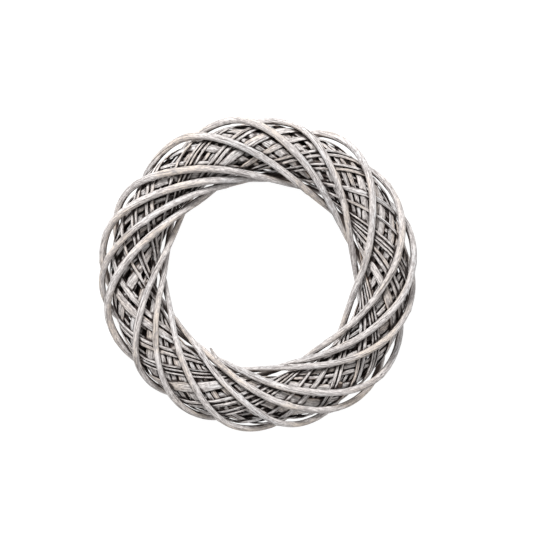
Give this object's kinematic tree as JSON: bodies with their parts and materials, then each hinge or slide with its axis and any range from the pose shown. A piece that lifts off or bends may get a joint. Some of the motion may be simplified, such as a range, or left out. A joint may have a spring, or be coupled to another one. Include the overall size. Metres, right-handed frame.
{
  "type": "wreath frame",
  "caption": "Whitewashed willow wreath frame: a bundle of hoops wound with criss-cross split strips and whole rods, for wiring flowers and greenery onto.",
  "frame": {"origin": "middle of the ring's outline, on the resting plane under the back flats", "axes": "+Z along the ring's axis, out of the show side; +Y towards the top of the wreath as it hangs; the ring lies on its back"},
  "size_m": [0.2998, 0.297, 0.0544],
  "materials": {
    "round_willow": "dry-brushed grey-white wash over bark",
    "split_willow": "grey-white wash over split willow, brown showing through",
    "core_willow": "weathered brown bark, little wash"
  },
  "bodies": {
    "root": {"outer_rod_1": "round_willow", "outer_rod_2": "round_willow", "outer_rod_3": "round_willow", "outer_rod_4": "round_willow", "outer_rod_5": "round_willow", "outer_rod_6": "round_willow", "outer_rod_7": "round_willow", "tucked_butt": "round_willow", "cross_strip_1": "split_willow", "cross_strip_2": "split_willow", "cross_strip_3": "split_willow", "cross_strip_4": "split_willow", "cross_strip_5": "split_willow", "cross_strip_6": "split_willow", "cross_strip_7": "split_willow", "under_strip_1": "split_willow", "under_strip_2": "split_willow", "under_strip_3": "split_willow", "under_strip_4": "split_willow", "under_strip_5": "split_willow", "under_strip_6": "split_willow", "under_strip_7": "split_willow", "cross_twig_1": "split_willow", "cross_twig_2": "split_willow", "cross_twig_3": "split_willow", "cross_twig_4": "split_willow", "cross_twig_5": "split_willow", "cross_twig_6": "split_willow", "lattice_strip_1": "split_willow", "lattice_strip_2": "split_willow", "lattice_strip_3": "split_willow", "lattice_strip_4": "split_willow", "lattice_strip_5": "split_willow", "core_hoop_1": "core_willow", "core_hoop_2": "core_willow", "core_hoop_3": "core_willow", "core_hoop_4": "core_willow", "core_hoop_5": "core_willow", "core_hoop_6": "core_willow", "core_hoop_7": "core_willow"}
  },
  "joints": []
}
